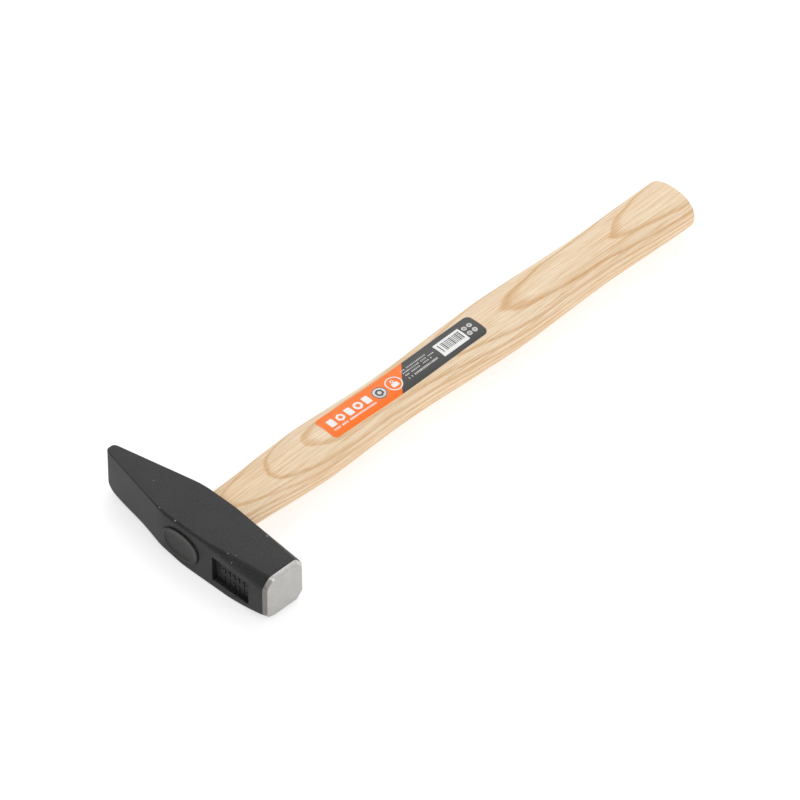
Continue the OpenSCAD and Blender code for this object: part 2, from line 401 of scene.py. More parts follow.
ashSpec = {
    "yearWidth": 2.0, "yearStart": -0.15,  # distance between two growth rings, and where the first one lies
    "lineFade": 1.3, "lineStart": 0.45,    # how far a ring's dark wood fades out, and in again
    "tilt": 0.036,                         # how fast the rings run out along the handle
    "pithX": -1.0, "pithDepth": 34.0,      # the tree's middle, from the handle's own
    "wander": 2.6, "quiver": 0.3,
    "wrapRadius": 11.0,                    # fibres are drawn as if the handle were this round
    "pale": (0.81, 0.64, 0.448), "cream": (0.84, 0.69, 0.513), "streak": (0.665, 0.459, 0.259),
    "early": (0.60, 0.342, 0.128), "earlySide": (0.61, 0.36, 0.178), "pore": (0.28, 0.15, 0.06),
    # neckTint is a painted shade: the wood is darkened towards the head
    "neckTint": (1.0, 0.96, 0.90), "neckStart": 62.0, "neckEnd": 8.0,
}


def makeAsh():
    spec = ashSpec
    material, tree, shader, point = newMaterial("lacqueredAsh", IOR=1.45, Specular_IOR_Level=0.38)
    x, y, z = splitVector(point)
    # slow wander of the whole grain, then a small quiver
    wander = minus(noiseNode(point, 2.0, 0.5, (0.03, 0.014, 0.03)), 0.5)
    quiver = minus(noiseNode(point, 3.0, 0.55, (0.25, 0.02, 0.25), (7, 3, 1)), 0.5)
    fromPithX = minus(x, spec["pithX"])
    fromPithZ = plus(z, spec["pithDepth"] - midZ / mm)
    radius = hypotenuse(fromPithX, fromPithZ)
    field = timesPlus(y, spec["tilt"], radius)
    field = timesPlus(wander, spec["wander"], field)
    field = timesPlus(quiver, spec["quiver"], field)
    years = plus(over(field, spec["yearWidth"]), spec["yearStart"])
    phase = mathNode("FRACT", years)
    yearTone = addNode(tree, "ShaderNodeTexWhiteNoise", {"noise_dimensions": "1D"},
        W=mathNode("FLOOR", years)).outputs[0]
    # a ring that meets the surface at a low angle would look wide, so its phase is turned into mm there
    radial = joinVector(X=over(fromPithX, radius), Y=spec["tilt"], Z=over(fromPithZ, radius))
    normal = addNode(tree, "ShaderNodeNewGeometry").outputs["Normal"]
    facing = addNode(tree, "ShaderNodeVectorMath", {"operation": "DOT_PRODUCT"}, in0=radial,
        in1=normal).outputs["Value"]
    grazing = mathNode("SQRT", larger(minus(1.0, times(facing, facing)), 0.02))
    perPhase = over(spec["yearWidth"], mathNode("POWER", grazing, 0.7))
    # fibres and fine lines follow the outline along the handle, but not on its end
    sideways = splitVector(normal)["Y"]
    onEnd = rangeNode(mathNode("ABSOLUTE", sideways), 0.6, 0.9)
    across = minus(z, midZ / mm)
    fromAxis = hypotenuse(x, across)
    stretch = over(spec["wrapRadius"], larger(fromAxis, 1.0))
    stretch = plus(stretch, times(onEnd, minus(1.0, stretch)))
    along = joinVector(X=times(x, stretch), Y=y, Z=times(across, stretch))
    sinceStart = times(phase, perPhase)
    toNext = times(minus(1.0, phase), perPhase)
    # early wood starts sharply and fades into the late wood
    fading = rangeNode(sinceStart, 0.15, spec["lineFade"], 1.0, 0.0, smooth=True)
    rising = rangeNode(toNext, 0.0, spec["lineStart"], 1.0, 0.0, smooth=True)
    line = larger(fading, rising)
    # rows of pores break each line of early wood into dashes
    dashes = rangeNode(noiseNode(along, 2.0, 0.5, (3.0, 0.09, 3.0), (4, 7, 2)), 0.36, 0.60)
    early = times(line, timesPlus(yearTone, 0.45, 0.6))
    early = times(early, timesPlus(dashes, 0.5, 0.5))
    fibres = noiseNode(along, 4.0, 0.6, (2.5, 0.035, 2.5), (0, 5, 9))
    # fine lines where a slow noise passes its middle value, more of them in some places than in others
    slow = minus(noiseNode(along, 2.0, 0.6, (2.3, 0.017, 2.3), (3, 1, 4)), 0.5)
    threads = rangeNode(mathNode("ABSOLUTE", slow), 0.006, 0.035, 1.0, 0.0, smooth=True)
    crowding = noiseNode(along, 1.0, 0.5, (1.1, 0.03, 1.1), (9, 4, 6))
    threads = times(threads, rangeNode(crowding, 0.35, 0.6, 0.15, 0.9))
    pores = rangeNode(noiseNode(along, 1.0, 0.5, (5.0, 0.20, 5.0), (2, 8, 5)), 0.58, 0.70)
    pores = times(pores, timesPlus(early, 0.9, 0.12))
    blotch = noiseNode(point, 2.0, 0.5, (0.09, 0.02, 0.09), (1, 2, 3))
    pale = mixColor(rangeNode(blotch, 0.35, 0.65), spec["pale"], spec["cream"])
    streaked = mixColor(rangeNode(fibres, 0.46, 0.66), pale, spec["streak"])
    earlyColor = mixColor(rangeNode(x, 2.0, 12.0), spec["early"], spec["earlySide"])
    ringed = mixColor(early, streaked, earlyColor)
    threaded = mixColor(threads, ringed, spec["early"])
    color = mixColor(times(pores, 0.5), threaded, spec["pore"])
    # painted shade: the neck, which goes into the eye, is painted a little darker, as if shaded by the head
    neck = rangeNode(y, spec["neckStart"], spec["neckEnd"])
    color = mixColor(neck, color, spec["neckTint"], "MULTIPLY")
    rough = timesPlus(early, 0.12, rangeNode(fibres, 0.2, 0.8, 0.42, 0.5))
    height = minus(times(fibres, 0.5), plus(early, pores))
    plug(shader, Base_Color=color, Roughness=rough)
    bumpInto(shader, height, 0.25, 0.00006)
    return material


ashMaterial = makeAsh()
handle = makeHandle()
for wedgeNode in ("wooden_wedge", "ring_wedge"):
    cutWith(handle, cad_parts[wedgeNode], keepCutter=True)
smoothShade(handle.data, handleSpec["smoothAngle"])
setMaterial(handle, ashMaterial)
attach(handle, "root")
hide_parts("handle")
print("handle made,", len(handle.data.polygons), "faces")


# head

headSpec = {
    "faceSide": 23.0, "noseRadius": 3.0, "peenAngle": 12.2, "blendRadius": 48.0,
    "cornerCut": 4.0, "cornerStart": 7.0, "faceBevel": 1.65, "faceRound": 0.22,
    "edgeRadius": 0.35, "noseTop": 0.7, "noseBottom": 6.6, "filletSteps": 6,
    "softWidth": 0.16, "softAngle": 38, "smoothAngle": 32,
    "upperReach": 1.0, "lowerReach": 0.4,     # how much rounder the chamfers' edges are than the long edges
    "eyeClearance": 0.02, "eyeOverrun": 4, "eyeRings": 24,
    # rings round the nose, then from there to the middle, to the start of the chamfers and to the shoulder
    "noseAngles": (7, 14, 22, 30, 38, 46, 54, 62, 70, 78), "middleX": -2.0, "ringCounts": (46, 4, 20),
    "rimAngles": (0, 30, 60, 90),
    # radius of the long edges above and below, at distances from the eye
    "upperEdge": [(-55.3, 0.35), (-25.0, 0.5), (-5.0, 1.4), (50.0, 1.5)],
    "lowerEdge": [(-55.3, 2.8), (-45.0, 2.8), (-27.0, 4.3), (-10.0, 3.2), (2.0, 1.0), (50.0, 0.8)],
}
faceX = headHigh[0] / mm
peenX = headLow[0] / mm
halfH = (headHigh[1] - headLow[1]) / mm / 2      # half the head's height at the eye
halfW = headSpec["faceSide"] / 2
noseX = peenX + headSpec["noseRadius"]
peenAngle = math.radians(headSpec["peenAngle"])
peenCornerX = noseX + (halfH - headSpec["noseRadius"] / math.cos(peenAngle)) / math.tan(peenAngle)
shoulderX = faceX - headSpec["faceBevel"]


def easeRange(value, low, high):
    t = min(max((value - low) / (high - low), 0.0), 1.0)
    return t * t * (3 - 2 * t)


def between(table, x):
    for (x0, v0), (x1, v1) in zip(table, table[1:]):
        if x <= x1:
            return v0 + (v1 - v0) * easeRange(x, x0, x1)
    return table[-1][1]


def headHalfY(x):
    nose, blend = headSpec["noseRadius"], headSpec["blendRadius"]
    blendX = peenCornerX + blend * math.tan(peenAngle / 2)
    if x >= blendX:
        start = headSpec["cornerStart"]
        return halfH + (halfW - halfH) * max((x - start) / (faceX - start), 0.0)
    if x >= blendX - blend * math.sin(peenAngle):
        return halfH - blend + math.sqrt(blend**2 - (blendX - x)**2)
    if x >= noseX - nose * math.sin(peenAngle):
        return nose / math.cos(peenAngle) + (x - noseX) * math.tan(peenAngle)
    return math.sqrt(max(nose**2 - (noseX - x)**2, 0.0))


def headHalfZ(x, upper):
    # the corners of the nose are rounded off, more so below
    nose = headSpec["noseTop"] if upper else headSpec["noseBottom"]
    if x >= peenX + nose:
        return halfW
    return halfW - nose * (1 - math.sqrt(max(1 - ((peenX + nose - x) / nose)**2, 0.0)))


def cornerShape(x, upper, front):
    # how much the corner is cut, and how far each of the two cut edges is rounded
    s = headSpec
    radius = s["edgeRadius"]
    if front or not upper:
        radius = max(between(s["upperEdge"] if upper else s["lowerEdge"], x), radius)
    cut, reach = radius * (2 - math.sqrt(2)), radius * (math.sqrt(2) - 1)
    grown = min(max((x - s["cornerStart"]) / (shoulderX - s["cornerStart"]), 0.0), 1.0)
    grown = grown if upper else grown**3       # the lower chamfers come on later
    extra = s["upperReach"] if upper else s["lowerReach"]
    return max(cut, s["cornerCut"] * grown), reach + extra * easeRange(grown, 0.0, 0.5)


def headRing(x):
    # an octagon with rounded corners, which goes round from the +Z side's +Y end
    drop = max(x - shoulderX, 0.0)
    hy = headHalfY(min(x, shoulderX)) - drop
    corners = []
    for sy, sz, yFirst in ((1, 1, True), (1, -1, False), (-1, -1, True), (-1, 1, False)):
        hz = headHalfZ(x, sz > 0) - drop
        cut, reach = cornerShape(min(x, shoulderX), sz > 0, sy < 0)
        cut = min(cut - drop * (2 - math.sqrt(2)), hy * 0.6)
        a = (Vector((sy * hy, sz * (hz - cut))), reach)
        b = (Vector((sy * (hy - cut), sz * hz)), reach)
        corners += [b, a] if yFirst else [a, b]
    ring = []
    steps = headSpec["filletSteps"]
    for i, (here, reach) in enumerate(corners):
        toBefore = corners[i - 1][0] - here
        toAfter = corners[(i + 1) % len(corners)][0] - here
        reach = min(reach, toBefore.length * 0.49, toAfter.length * 0.49)
        start = here + toBefore.normalized() * reach
        end = here + toAfter.normalized() * reach
        for k in range(steps + 1):
            t = k / steps
            p = start * (1 - t)**2 + here * 2 * t * (1 - t) + end * t**2
            ring.append((x * mm, p[0] * mm, midZ + p[1] * mm))
    return ring


def makeHeadShape():
    nose = headSpec["noseRadius"]
    places = [noseX - nose * math.cos(math.radians(a)) for a in headSpec["noseAngles"]]
    stops = (noseX, headSpec["middleX"], headSpec["cornerStart"], shoulderX)
    for start, end, count in zip(stops, stops[1:], headSpec["ringCounts"]):
        places += [start + (end - start) * k / count for k in range(count)]
    places += [shoulderX, shoulderX + 0.02]
    rings = [headRing(x) for x in places]
    r = headSpec["faceRound"]
    rim = headRing(faceX - r)
    for a in headSpec["rimAngles"]:      # a small round between the bevel and the flat
        angle = math.radians(a)
        shrink = 1 - r * (1 - math.cos(angle)) / halfW
        rings.append([((faceX - r + r * math.sin(angle)) * mm, p[1] * shrink,
            midZ + (p[2] - midZ) * shrink) for p in rim])
    return makeObject("forgedHead", loftMesh("forgedHead", rings))


recessSpec = {"startX": 18.5, "length": 21.3, "lowZ": -7.0, "width": 13.0, "floorY": -9.45,
              "rows": 3, "marks": 7, "markHeight": 0.35, "markWidth": 1.9, "markTall": 2.5,
              "sink": 0.1, "margin": 0.7, "narrowest": 0.55, "softWidth": 0.14, "overrun": 3}


def makeHead():
    piece = makeHeadShape()
    past, count, wider = headSpec["eyeOverrun"], headSpec["eyeRings"], headSpec["eyeClearance"]
    eye = [section(-halfH - past + k * 2 * (halfH + past) / count, -wider) for k in range(count + 1)]
    cutWith(piece, makeObject("eyeCutter", loftMesh("eyeCutter", eye)))
    r = recessSpec
    low = (r["startX"] * mm, (-halfH - r["overrun"]) * mm, midZ + r["lowZ"] * mm)
    high = ((r["startX"] + r["length"]) * mm, r["floorY"] * mm, midZ + (r["lowZ"] + r["width"]) * mm)
    cutWith(piece, makeBox("recessCutter", low, high))
    soften = piece.modifiers.new("soften", "BEVEL")
    soften.width = headSpec["softWidth"] * mm
    soften.segments = 3
    soften.limit_method = "ANGLE"
    soften.angle_limit = math.radians(headSpec["softAngle"])
    soften.use_clamp_overlap = True
    soften.loop_slide = True
    bakeModifiers(piece)
    smoothShade(piece.data, headSpec["smoothAngle"])
    return piece


lacquerSpec = {
    "black": (0.005, 0.0056, 0.0054), "patch": (0.011, 0.0115, 0.011), "speckle": (0.030, 0.031, 0.030),
    "thin": (0.020, 0.020, 0.020), "edge": (0.030, 0.030, 0.029), "chip": (0.30, 0.29, 0.27),
    "brownAndShade": (0.155, 0.138, 0.122), "rimTint": (1.3, 1.3, 1.3),
    "rim": 2.6, "rimFade": 1.1,       # how far in from the head's side the brown tint and painted shade of the bevel start
    "cornerBrownAndShade": (16.2, 17.4),      # the same on the upper front corner, as height less depth
}


def makeLacquer():
    spec = lacquerSpec
    material, tree, shader, point = newMaterial("blackLacquer", IOR=1.5, Specular_IOR_Level=0.24)
    x, y, z = splitVector(point)
    grain = placeGroup(tree, fineGrain, Vector=point, Size=0.6, Patch=9.0)
    # bare ground metal past the shoulder of the striking face
    ragged = timesPlus(noiseNode(point, 3.0, 0.6, (1.6, 1.6, 1.6)), 0.16, x)
    bare = rangeNode(ragged, shoulderX + 0.03, shoulderX + 0.11)
    # chips along the long edges and a few specks anywhere
    specks = placeGroup(tree, rareSpecks, Vector=point, Spacing=7.0, Radius=0.28, Share=0.35)[0]
    # an edge faces two ways at once
    normal = addNode(tree, "ShaderNodeNewGeometry").outputs["Normal"]
    turned = splitVector(normal)
    slanted = mathNode("ABSOLUTE", times(turned[1], turned[2]))
    edge = rangeNode(slanted, 0.14, 0.34)
    chips = placeGroup(tree, rareSpecks, Vector=point, Spacing=4.0, Radius=0.62, Share=0.6)[0]
    chipped = larger(times(chips, edge), times(specks, 0.25))
    black = mixColor(rangeNode(grain["Patches"], 0.3, 0.7), spec["black"], spec["patch"])
    black = mixColor(rangeNode(grain["Speckle"], 0.45, 0.7), black, spec["speckle"])
    # painted light: the lacquer is painted greyer towards the peen, as if its faces caught more light
    black = mixColor(rangeNode(x, -10.0, peenX + 4.0, 0.0, 0.4), black, spec["thin"])
    # painted highlight: the long edges are painted lighter, as if they caught the light
    black = mixColor(times(edge, 0.3), black, spec["edge"])
    paint = mixColor(chipped, black, spec["chip"])
    # ground steel, with lines along Y on the flat and round the rim's bevel
    flat = placeGroup(tree, groundSteel, Vector=point, Lines=(4.0, 0.25, 5.5))
    rim = placeGroup(tree, groundSteel, Vector=point, Lines=(0.6, 5.0, 5.0))
    onFlat = rangeNode(x, faceX - 0.3, faceX - 0.05)
    bright = mixColor(1.0, rim["Color"], spec["rimTint"], "MULTIPLY")
    steel = mixColor(onFlat, bright, flat["Color"])
    # the bevel is painted darker and browner on its lower and front sides: painted shade with a brown tint
    lowZ, full = headLow[2] / mm, spec["rim"] - spec["rimFade"]
    brownAndShade = larger(rangeNode(y, spec["rim"] - halfW, full - halfW),
        rangeNode(z, lowZ + spec["rim"], lowZ + full))
    # and less on the upper front corner, where it is painted shade over a highlight
    corner = minus(minus(z, midZ / mm), y)
    onCorner = rangeNode(corner, *spec["cornerBrownAndShade"], 0.0, 0.7)
    brownAndShade = larger(brownAndShade, onCorner)
    brownAndShade = times(brownAndShade, minus(1.0, onFlat))
    steel = mixColor(times(brownAndShade, 0.85), steel, spec["brownAndShade"])
    lacquerRough = rangeNode(grain["Speckle"], 0.2, 0.8, 0.4, 0.54)
    rough = firstOf(tree, "ShaderNodeMix", {"data_type": "FLOAT"}, in0=bare, in2=lacquerRough,
        in3=flat["Roughness"])
    metal = larger(bare, times(chipped, 0.6))
    paintHeight = minus(times(grain["Height"], 0.5), chipped)
    height = firstOf(tree, "ShaderNodeMix", {"data_type": "FLOAT"}, in0=bare, in2=paintHeight,
        in3=flat["Height"])
    plug(shader, Base_Color=mixColor(bare, paint, steel), Roughness=rough, Metallic=metal)
    bumpInto(shader, height, 0.4, 0.00006)
    return material


lacquer = makeLacquer()
head = makeHead()
setMaterial(head, lacquer)
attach(head, "root")
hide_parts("head")
print("head made,", len(head.data.polygons), "faces")


# raised marks on the floor of the recess

def paintedOut(tree, geometry, given, out):
    solid = geoNode(tree, "RealizeInstances", Geometry=geometry)
    feed(out["Geometry"], geoNode(tree, "SetMaterial", Geometry=solid, Material=given["Material"]))


def makeMarksTree():
    # rows and columns of blocks of uneven width
    tree, given, out = newGeometryTree("raisedMarks",
        {"Material": "Material", "First": "Vector", "Columns": 5, "Column Step": "Vector", "Rows": 3,
        "Row Step": "Vector", "Block": "Vector", "Narrowest": 0.5, "Seed": 1})
    rows = geoNode(tree, "MeshLine", Count=given["Rows"], Offset=given["Row Step"])
    columns = geoNode(tree, "MeshLine", Count=given["Columns"], Start_Location=given["First"],
        Offset=given["Column Step"])
    grid = geoNode(tree, "InstanceOnPoints", Points=columns, Instance=rows)
    grid = geoNode(tree, "RealizeInstances", Geometry=grid)
    block = geoNode(tree, "MeshCube", Size=given["Block"])
    scale = joinVector(X=randomShare(given["Narrowest"], given["Seed"]), Y=1.0, Z=1.0)
    marks = geoNode(tree, "InstanceOnPoints", Points=grid, Instance=block, Scale=scale)
    paintedOut(tree, marks, given, out)
    return tree


def growFromTree(name, tree, **values):
    # an object that only a node tree makes, turned into a plain mesh
    piece = makeObject(name, bpy.data.meshes.new(name))
    change = piece.modifiers.new("growth", "NODES")
    change.node_group = tree
    sockets = {item.name: item.identifier for item in tree.interface.items_tree if item.in_out == "INPUT"}
    for key, value in values.items():
        change[sockets[key.replace("_", " ")]] = value
    bakeModifiers(piece)
    setMaterial(piece, values["Material"])      # the primitives bring an empty slot of their own
    piece.data.polygons.foreach_set("material_index", [0] * len(piece.data.polygons))
    return piece


def makeMarks():
    r = recessSpec
    columnStep = (r["length"] - 2 * r["margin"]) / r["marks"]
    rowStep = r["width"] / r["rows"]
    depth = r["markHeight"] + r["sink"]
    first = (r["startX"] + r["margin"] + columnStep / 2, r["floorY"] + r["sink"] - depth / 2,
        midZ / mm + r["lowZ"] + rowStep / 2)
    marks = growFromTree("recessMarks", makeMarksTree(), Material=lacquer,
        First=tuple(v * mm for v in first), Columns=r["marks"], Column_Step=(columnStep * mm, 0.0, 0.0),
        Rows=r["rows"], Row_Step=(0.0, 0.0, rowStep * mm),
        Block=(r["markWidth"] * mm, depth * mm, r["markTall"] * mm), Narrowest=r["narrowest"], Seed=4)
    soften = marks.modifiers.new("soften", "BEVEL")
    soften.width = r["softWidth"] * mm
    soften.segments = 2
    bakeModifiers(marks)
    smoothShade(marks.data, headSpec["smoothAngle"])
    return marks


marks = makeMarks()
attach(marks, "root")
print("recess marks made")


# wedges, which keep their own shapes

wedgeSpec = {"wood": (0.50, 0.33, 0.18), "woodLight": (0.62, 0.44, 0.26), "woodDark": (0.33, 0.19, 0.09)}


def makeWedgeWood():
    material, tree, shader, point = newMaterial("wedgeBeech", IOR=1.45)
    drawn = vectorNode("MULTIPLY", point, (1.0, 0.12, 1.0))
    grain = placeGroup(tree, fineGrain, Vector=drawn, Size=0.4, Patch=2.5)
    color = mixColor(rangeNode(grain["Patches"], 0.3, 0.7), wedgeSpec["wood"], wedgeSpec["woodLight"])
    color = mixColor(rangeNode(grain["Speckle"], 0.5, 0.75, 0.0, 0.7), color, wedgeSpec["woodDark"])
    plug(shader, Base_Color=color, Roughness=rangeNode(grain["Speckle"], 0.2, 0.8, 0.52, 0.7))
    bumpInto(shader, grain["Height"], 0.3, 0.00005)
    return material


def makeWedgeSteel():
    material, tree, shader, point = newMaterial("wedgeSteel", Metallic=1.0)
    steel = placeGroup(tree, groundSteel, Vector=point, Lines=(1.2, 6.0, 1.2))
    plug(shader, Base_Color=steel["Color"], Roughness=steel["Roughness"])
    bumpInto(shader, steel["Height"], 0.3, 0.00004)
    return material


for wedgeNode, makeFinish in (("wooden_wedge", makeWedgeWood), ("ring_wedge", makeWedgeSteel)):
    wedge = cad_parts[wedgeNode]
    if not wedge.material_slots:
        wedge.data.materials.append(None)
    finish = makeFinish()
    for place in wedge.material_slots:
        place.material = finish
print("wedges finished")


# seal in the eye

sealSpec = {
    "sides": 96, "gap": 0.25, "smoothAngle": 40,
    "lipDepth": 0.2, "fitDepth": 0.5, "fitGap": 0.01,      # down to where it is free of the eye, and fits it
    # shares of the eye's width and height, then depth below the rim
    "dish": [(0.30, 0.30, 0.46), (0.55, 0.52, 0.42), (0.72, 0.68, 0.34)],
    # distance in from the eye's wall, then depth below the rim
    "rim": [(2.0, 0.24), (1.45, 0.12), (1.1, 0.03), (0.85, 0.0), (0.6, 0.03), (0.42, 0.12), (0.3, 0.26),
            (0.25, 0.45)],
    "dark": (0.005, 0.006, 0.004), "light": (0.011, 0.012, 0.009),
}


def makeSeal():
    a, b = halfX(-halfH), halfZ(-halfH)
    top, sides, gap = sealLow[1] / mm, sealSpec["sides"], sealSpec["gap"]
    rings = [oval(a * u, b * v, top + d, sides) for u, v, d in sealSpec["dish"]]
    rings += [oval(a - inset, b - inset, top + d, sides) for inset, d in sealSpec["rim"]]
    rings.append(oval(a - gap, b - gap, -halfH + sealSpec["lipDepth"], sides))
    rings.append(section(-halfH + sealSpec["fitDepth"], sealSpec["fitGap"]))
    rings.append(section(sealHigh[1] / mm))
    piece = makeObject("eyeSeal", loftMesh("eyeSeal", rings))
    smoothShade(piece.data, sealSpec["smoothAngle"])
    return piece


def makeResin():
    material, tree, shader, point = newMaterial("sealResin", IOR=1.52, Specular_IOR_Level=0.26)
    grain = placeGroup(tree, fineGrain, Vector=point, Size=0.5, Patch=5.0)
    color = mixColor(rangeNode(grain["Patches"], 0.3, 0.7), sealSpec["dark"], sealSpec["light"])
    plug(shader, Base_Color=color, Roughness=rangeNode(grain["Speckle"], 0.2, 0.8, 0.26, 0.42))
    bumpInto(shader, grain["Height"], 0.2, 0.00005)
    return material


seal = makeSeal()
setMaterial(seal, makeResin())
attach(seal, "root")
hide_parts("end_seal")
print("seal made")


# label: a film with two colours, and print that lies on it

labelSpec = {
    "corner": 2.4, "filmLift": 0.02, "filmThickness": 0.1, "filmCuts": (22, 110),
    "inkLift": 0.13, "inkThickness": 0.03, "inkGap": 0.01, "smoothAngle": 50,
    "slant": 0.954, "slantStart": 46.5,   # the two colours meet on a line across the film
    # places across and along the film, from its centre line and its end nearest the head
    "blocks": {"across": -0.5, "along": 4.9, "step": 5.2, "count": 5, "width": 4.5, "length": 3.3,
               "corner": 0.5, "line": 1.15},
    "caption": {"across": 3.3, "along": 3.3, "step": 0.93, "count": 27, "width": 0.95, "length": 0.7},
    "disc": {"across": 0.2, "along": 32.75, "radius": 3.4},
    "ring": {"across": 0.35, "along": 41.2, "radius": 4.0, "line": 0.55},
    # rows of small print: distance across, count of dashes, height
    "smallPrint": [(-2.45, 17, 0.75), (-0.85, 21, 0.75), (0.75, 18, 0.75), (2.75, 21, 1.0)],
    "smallStart": 48.3, "smallStep": 0.88, "smallLength": 0.66,
    "panel": {"across": 0.42, "along": 75.9, "width": 7.9, "length": 15.3},
    "stripes": {"across": 0.1, "along": 70.0, "step": 0.86, "count": 15, "width": 4.8, "length": 0.62},
    "dots": {"across": (-1.4, 2.05), "along": (85.6, 88.7), "radius": 1.25},
    "nut": {"radius": 2.1, "line": 0.95}, "rimLine": 0.3,
    "knob": {"across": -1.2, "radius": 0.95, "line": 0.42},
    "body": {"across": 0.95, "width": 2.3, "length": 3.5, "corner": 0.6},
    "orange": (0.95, 0.200, 0.027), "orangeDeep": (0.96, 0.178, 0.017), "orangePatch": (0.92, 0.17, 0.025),
    "slate": (0.064, 0.064, 0.064), "slatePatch": (0.074, 0.074, 0.073), "fleck": (0.6, 0.5, 0.45),
    # fresh and worn colour of each ink, then how metallic it is
    "inks": {"whiteInk": ((0.84, 0.84, 0.83), (0.72, 0.71, 0.69)),
             "thinWhiteInk": ((0.62, 0.60, 0.58), (0.45, 0.43, 0.41)),
             "silverInk": ((0.52, 0.52, 0.515), (0.30, 0.30, 0.30), 0.4),
             "darkInk": ((0.045, 0.045, 0.045), (0.09, 0.09, 0.09))},
}
filmX = (filmLow[0] + filmHigh[0]) / 2
filmY = filmLow[1]
filmWidth = (filmHigh[0] - filmLow[0]) / mm
filmLength = (filmHigh[1] - filmLow[1]) / mm


def makeDrapeGroup():
    # lays a flat mesh on a surface straight down and gives it a thickness, as a closed skin
    group, given, out = newGeometryTree("drapeOnSurface",
        {"Geometry": "Geometry", "Surface": "Object", "Lift": 0.0, "Thickness": 0.0001})
    target = addNode(group, "GeometryNodeObjectInfo", {"transform_space": "ORIGINAL"},
        Object=given["Surface"]).outputs["Geometry"]
    spot = geoNode(group, "InputPosition")
    fall = addNode(group, "GeometryNodeRaycast", Target_Geometry=target, Source_Position=spot,
        Ray_Direction=(0, 0, -1), Ray_Length=0.1).outputs
    lift = firstOf(group, "ShaderNodeVectorMath", {"operation": "SCALE"}, in0=fall["Hit Normal"],
        Scale=given["Lift"])
    place = vectorNode("ADD", lift, fall["Hit Position"])
    laid = geoNode(group, "SetPosition", Geometry=given["Geometry"], Position=place)
    raised = geoNode(group, "ExtrudeMesh", {"mode": "FACES"}, Mesh=laid, Offset_Scale=given["Thickness"],
        Individual=False)
    both = geoNode(group, "JoinGeometry", Geometry=raised)
    feed(both.node.inputs[0], geoNode(group, "FlipFaces", Mesh=laid))
    feed(out["Geometry"], geoNode(group, "MergeByDistance", Geometry=both, Distance=1e-6))
    return group


def finishTree(tree, flat, given, out):
    # the last steps of every printed tree: merge, drape, material
    merged = geoNode(tree, "MergeByDistance", Geometry=flat, Distance=1e-6)
    laid = placeGroup(tree, drapeOnSurface, Geometry=merged, Surface=given["Surface"], Lift=given["Lift"],
        Thickness=given["Thickness"])
    paintedOut(tree, laid["Geometry"], given, out)


drapeInputs = {"Surface": "Object", "Material": "Material", "Lift": 0.0, "Thickness": 0.0001}


def makePatchTree():
    # a row of patches with round corners; some may be missing and their lengths may vary
    tree, given, out = newGeometryTree("printedPatches",
        {**drapeInputs, "First": "Vector", "Step": "Vector", "Count": 1, "Width": 0.001, "Length": 0.001,
        "Corner": 0.0, "Cuts Across": 4, "Cuts Along": 4, "Share": 1.1, "Shortest": 1.0, "Seed": 1})
    flat = geoNode(tree, "MeshGrid", Size_X=given["Width"], Size_Y=given["Length"],
        Vertices_X=given["Cuts Across"], Vertices_Y=given["Cuts Along"])
    x, y = splitVector(geoNode(tree, "InputPosition"))[:2]
    halfLength = times(given["Length"], 0.5)
    halfWidth = times(given["Width"], 0.5)
    # rows crowd towards both ends, where the corners turn
    rowY = mathNode("SINE", times(over(y, halfLength), math.pi / 2))
    rowY = times(rowY, halfLength)
    fromEnd = minus(halfLength, mathNode("ABSOLUTE", rowY))
    corner = given["Corner"]
    into = larger(minus(corner, fromEnd), 0.0)
    chord = minus(times(corner, corner), times(into, into))
    shrink = minus(corner, mathNode("SQRT", larger(chord, 0.0)))
    narrow = over(minus(halfWidth, shrink), halfWidth)
    place = joinVector(X=times(x, narrow), Y=rowY)
    shaped = geoNode(tree, "SetPosition", Geometry=flat, Position=place)
    row = geoNode(tree, "MeshLine", Count=given["Count"], Start_Location=given["First"],
        Offset=given["Step"])
    pick = randomShare(0.0, given["Seed"])
    kept = firstOf(tree, "FunctionNodeCompare", {"operation": "LESS_THAN"}, in0=pick, in1=given["Share"])
    size = randomShare(given["Shortest"], plus(given["Seed"], 1.0))
    placed = geoNode(tree, "InstanceOnPoints", Points=row, Selection=kept, Instance=shaped,
        Scale=joinVector(X=1.0, Y=size, Z=1.0))
    finishTree(tree, geoNode(tree, "RealizeInstances", Geometry=placed), given, out)
    return tree


def makeRingTree():
    # a flat ring, which is a polygon where it has few sides and a disc where its line is its radius
    tree, given, out = newGeometryTree("printedRing", {**drapeInputs, "Centre": "Vector", "Radius": 0.004,
        "Line": 0.0005, "Sides": 64})
    strip = geoNode(tree, "MeshGrid", Size_X=1.0, Size_Y=1.0, Vertices_Y=5,
        Vertices_X=plus(given["Sides"], 1.0))
    x, y = splitVector(geoNode(tree, "InputPosition"))[:2]
    angle = times(x, -2 * math.pi)
    reach = timesPlus(minus(y, 0.5), given["Line"], given["Radius"])
    spot = joinVector(X=times(reach, mathNode("COSINE", angle)), Y=times(reach, mathNode("SINE", angle)))
    place = vectorNode("ADD", spot, given["Centre"])
    bent = geoNode(tree, "SetPosition", Geometry=strip, Position=place)
    finishTree(tree, bent, given, out)
    return tree


drapeOnSurface = makeDrapeGroup()
patchTree = makePatchTree()
ringTree = makeRingTree()


def onLabel(across, along):
    return (filmX + across * mm, filmY + along * mm, handleHigh[2] + 5 * mm)


def layPatches(name, material, across, along, width, length, lift=None, thickness=None, step=0.0, count=1,
        corner=0.0, cuts=(5, 6), share=1.1, shortest=1.0, seed=1):
    return growFromTree(name, patchTree, Surface=handle, Material=material, First=onLabel(across, along),
        Lift=(lift or labelSpec["inkLift"]) * mm, Thickness=(thickness or labelSpec["inkThickness"]) * mm,
        Step=(0.0, step * mm, 0.0), Count=count, Width=width * mm, Length=length * mm, Corner=corner * mm,
        Cuts_Across=cuts[0], Cuts_Along=cuts[1], Share=share, Shortest=shortest, Seed=seed)


